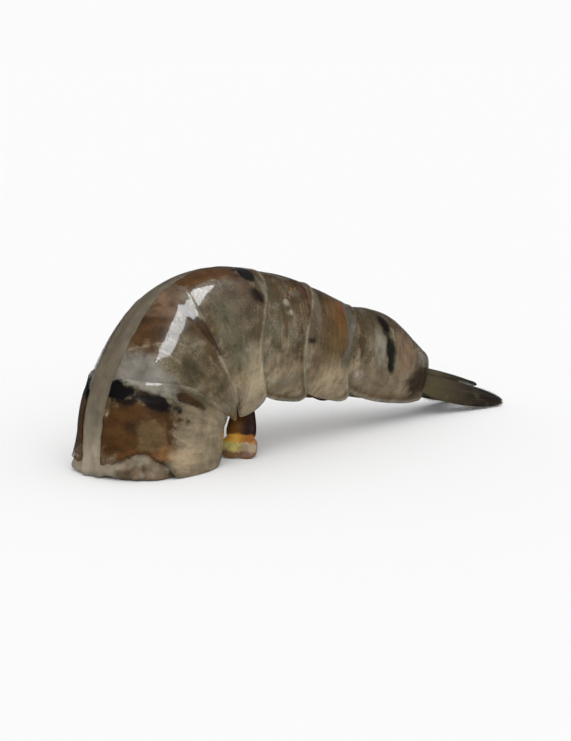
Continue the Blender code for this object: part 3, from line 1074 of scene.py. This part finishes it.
# Station, fold from straight back, splay outward, length, half width, distance off the middle.
Swimmeret = namedtuple("Swimmeret", "station fold splay length half_width offset")
SWIMMERETS = (
    Swimmeret(7.5 * MM, 175.0, 0.0, 5.0 * MM, 2.2 * MM, 3.0 * MM),
    Swimmeret(20.8 * MM, 122.0, 0.0, 7.5 * MM, 2.2 * MM, 3.2 * MM),
    Swimmeret(36.1 * MM, 103.0, 13.0, 12.68 * MM, 3.0 * MM, 3.3 * MM),
    Swimmeret(42.5 * MM, 4.0, 0.0, 8.5 * MM, 2.0 * MM, 2.6 * MM),
    Swimmeret(54.0 * MM, 3.0, 0.0, 7.5 * MM, 1.6 * MM, 2.1 * MM),
)
SWIMMERET_THICKNESS = 0.7 * MM
SWIMMERET_GAP = 0.3 * MM
SWIMMERET_FLOOR_GAP = 0.05 * MM
SWIMMERET_WAVES = 0.12

# A leg that is splayed outward is also turned about its own length.
SWIMMERET_TURN = 40.0

# The stalk and its two paddles, as shares of the leg's length, half width and thickness:
# start, length, half width, thickness and distance off the middle, then yaw and lean in
# degrees, how fully it widens and how bluntly it ends.
Lobe = namedtuple("Lobe", "start length half_width thickness aside yaw lean fullness bluntness")
LEG_LOBES = (
    Lobe(0.0, 0.78, 1.05, 1.5, 0.0, 0.0, 0.0, 1.1, 9.0),
    Lobe(0.66, 0.34, 0.66, 0.5, -0.42, -2.0, 8.0, 7.0, 7.0),
    Lobe(0.66, 0.33, 0.68, 0.5, 0.36, 2.0, -7.0, 7.0, 7.0),
)


def leg_stand(leg, side):
    """Turns a leg that lies along X from its root to its place under the body."""
    depth = between(BODY_SECTIONS, leg.station)[2]
    point, heading = spine_frame(leg.station)
    up = Vector((-math.sin(heading), 0, math.cos(heading)))
    root = point - up * (depth + SWIMMERET_GAP + SWIMMERET_THICKNESS)
    turn = SWIMMERET_TURN if leg.splay else 0.0
    return (
        Matrix.Translation(root + Vector((0, leg.offset * side, 0)))
        @ Matrix.Rotation(math.radians(leg.fold) - heading, 4, "Y")
        @ Matrix.Rotation(math.radians(leg.splay) * side, 4, "Z")
        @ Matrix.Rotation(math.radians(turn) * side, 4, "X")
    )


def add_leg_lobe(name, number, leg, lobe, side):
    """The stalk or one paddle of a leg, in its place."""
    length = lobe.length * leg.length
    half_width = lobe.half_width * leg.half_width
    stand = (
        leg_stand(leg, side)
        @ Matrix.Translation((lobe.start * leg.length, lobe.aside * leg.half_width * side, 0))
        @ Matrix.Rotation(math.radians(lobe.yaw) * side, 4, "Z")
        @ Matrix.Rotation(math.radians(lobe.lean), 4, "X")
    )

    def place_of(point):
        along, angle = ball_place(point)
        outline = blade_outline(along, half_width, lobe.fullness, lobe.bluntness)
        across = math.sin(angle) * outline
        thick = math.cos(angle) * lobe.thickness * SWIMMERET_THICKNESS * blade_swell(along)
        place = Vector((along * length, across, thick))
        wave = ripple(place + Vector((number, side, lobe.start)), 2.2 * MM)
        place.z += SWIMMERET_WAVES * half_width * wave
        from_rim = (1 - abs(across) / max(outline, 1e-6)) * half_width
        from_rim = min(from_rim, (1 - along) * length) if lobe.start else FAR
        down_leg = (lobe.start + along * lobe.length) * leg.length
        off_middle = lobe.aside * leg.half_width + across * side
        return above_floor(stand @ place, SWIMMERET_FLOOR_GAP), (down_leg, off_middle, from_rim)

    return shape_ball(name, 40, 40, place_of)


def add_leg(name, number, side):
    leg = SWIMMERETS[number - 1]
    lobes = [add_leg_lobe(name, number, leg, lobe, side) for lobe in LEG_LOBES]
    bpy.ops.object.select_all(action="DESELECT")
    for piece in lobes:
        piece.select_set(True)
    bpy.context.view_layer.objects.active = lobes[0]
    bpy.ops.object.join()
    smooth_shaded(lobes[0], 60)
    return lobes[0]


AMBER = (0.120, 0.048, 0.008)
AMBER_SHADE = (0.020, 0.006, 0.003)
GOLD = (0.56, 0.30, 0.045)
GOLD_SHADE = (0.28, 0.11, 0.02)
GLASS = (0.58, 0.48, 0.14)
GLASS_SHADE = (0.38, 0.28, 0.17)
GLASS_CLOUD = (0.17, 0.13, 0.075)
RED_BROWN = (0.150, 0.062, 0.030)
PADDLE_EDGE = (0.12, 0.055, 0.022)


def finish_swimmeret(length):
    """Amber stalk, golden joint and glassy paddles, at their shares of the leg's length."""
    finish = Finish("swimmeret", IOR=1.45, Specular_IOR_Level=0.12, Coat_Roughness=0.06, Coat_IOR=1.45)
    _, along, across, rim = finish.measured("layout")
    cloud = finish.grain(1.5 * MM)
    fleck = finish.grain(0.4 * MM)
    reach = along + 1.0 * MM * (cloud - 0.5)
    one_side = finish.rise(across + 1.0 * MM * (fleck - 0.5), -0.9 * MM, 1.1 * MM)
    stalk = finish.blend(one_side, AMBER, AMBER_SHADE)
    at_joint = finish.rise(reach, 0.63 * length, 0.68 * length)
    colour = finish.blend(at_joint, stalk, finish.blend(one_side, GOLD, GOLD_SHADE))
    glassy = finish.layered(
        finish.blend(one_side, GLASS, GLASS_SHADE), (cloud, 0.45, 0.62, 0.5, GLASS_CLOUD)
    )
    paddle = finish.rise(reach, 0.75 * length, 0.79 * length)
    colour = finish.blend(paddle, colour, glassy)
    colour = finish.layered(colour, (reach, 0.87 * length, 0.92 * length, 0.9, RED_BROWN))
    edge = finish.rise(rim, 0.35 * MM, 0.1 * MM)
    colour = finish.blend(edge * 0.6, colour, PADDLE_EDGE)
    finish.shade(
        Base_Color=colour,
        Roughness=0.5 - 0.25 * paddle + 0.15 * fleck,
        Coat_Weight=0.03 + 0.45 * paddle,
        Alpha=0.97 - 0.22 * paddle + 0.22 * paddle * edge,
        Normal=finish.bump(cloud + 0.3 * fleck, 0.14 * MM),
    )
    return finish.material


for number, swimmeret in enumerate(SWIMMERETS, 1):
    swimmeret_material = finish_swimmeret(swimmeret.length)
    for side_name, side in SIDES:
        leg = add_leg(f"swimmeret_{number}_{side_name}", number, side)
        leg.data.materials.append(swimmeret_material)
        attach(leg, "root")
        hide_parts(f"pleopod_{number}_{side_name}")

# ------------------------------------------------------------
# Stage: a pale floor under the object, a long soft light overhead that makes the streak on
# the shell, a wide weak fill and an even pale room. The camera stands low on the left, near
# the cut end, and aims a little below the middle and towards that end.

FLOOR_SIZE = 8.0
FLOOR_WHITE = (0.88, 0.88, 0.88, 1)

# How bright the room is behind the object, where it lights it, and where it is mirrored.
ROOM_SEEN = 0.966
ROOM_LIGHT = 0.75
ROOM_MIRRORED = 0.06

STRIP_LENGTH = 0.9
STRIP_WIDTH = 0.30
STRIP_FROM_MIDDLE = Vector((-0.06, -0.235, 0.60))
STRIP_DIRECTION = Vector((0.61, 0.76, 0.0))
FILL_DIRECTION = Vector((-0.6, -0.65, 0.75))

CAMERA_AZIMUTH = math.radians(-43)
CAMERA_ELEVATION = math.radians(10)
CAMERA_DISTANCE = 0.350
CAMERA_AIM = Vector((-4.80, 0, -3.75)) * MM


def stand_up(name, data, place, turn):
    """Puts a light or the camera in its place."""
    made = bpy.data.objects.new(name, data)
    made.location = place
    made.rotation_euler = turn
    bpy.context.scene.collection.objects.link(made)
    return made


middle = (cad_low + cad_high) / 2

floor = start_piece("floor", bpy.ops.mesh.primitive_plane_add, size=FLOOR_SIZE, location=(0, 0, 0))
floor_finish = Finish("pale floor", Base_Color=FLOOR_WHITE, Roughness=0.9, Specular_IOR_Level=0.0)
floor.data.materials.append(floor_finish.material)
floor.visible_glossy = False

world = bpy.data.worlds.new("studio")
bpy.context.scene.world = world
world.use_nodes = True
room = Nodes(world.node_tree)
level = ROOM_LIGHT
for ray, ray_level in (("Is Glossy Ray", ROOM_MIRRORED), ("Is Camera Ray", ROOM_SEEN)):
    chosen = room.node("ShaderNodeLightPath", output=ray)
    ends = {"Value": chosen, "To Min": level, "To Max": ray_level}
    level = room.node("ShaderNodeMapRange", (), ends)
sky = room.tree.nodes["Background"]
room.feed(sky.inputs["Strength"], level)
room.feed(sky.inputs["Color"], (1, 1, 1, 1))

strip = bpy.data.lights.new("overhead strip", "AREA")
strip.shape = "RECTANGLE"
strip.size = STRIP_LENGTH
strip.size_y = STRIP_WIDTH
strip.energy = 10.0
strip.color = (0.93, 0.96, 1.0)
upward = STRIP_FROM_MIDDLE.normalized()
lengthwise = (STRIP_DIRECTION - upward * STRIP_DIRECTION.dot(upward)).normalized()
strip_turn = Matrix((lengthwise, upward.cross(lengthwise), upward)).transposed().to_euler()
strip_stand = stand_up("overhead strip", strip, middle + STRIP_FROM_MIDDLE, strip_turn)
strip_stand.visible_diffuse = False

fill = bpy.data.lights.new("soft fill", "SUN")
fill.energy = 1.7
fill.angle = math.radians(70)
fill_turn = FILL_DIRECTION.to_track_quat("Z", "Y").to_euler()
fill_stand = stand_up("soft fill", fill, (0, 0, 0), fill_turn)
fill_stand.visible_glossy = False

camera = bpy.data.cameras.new("camera")
camera.lens = 91.8
camera.clip_start = 0.01
level_back = Vector((0, -math.cos(CAMERA_ELEVATION), math.sin(CAMERA_ELEVATION)))
back = Matrix.Rotation(CAMERA_AZIMUTH, 3, "Z") @ level_back
camera_place = middle + CAMERA_AIM + back * CAMERA_DISTANCE
camera_stand = stand_up("camera", camera, camera_place, back.to_track_quat("Z", "Y").to_euler())
bpy.context.scene.camera = camera_stand
bpy.context.scene.view_settings.view_transform = "Standard"
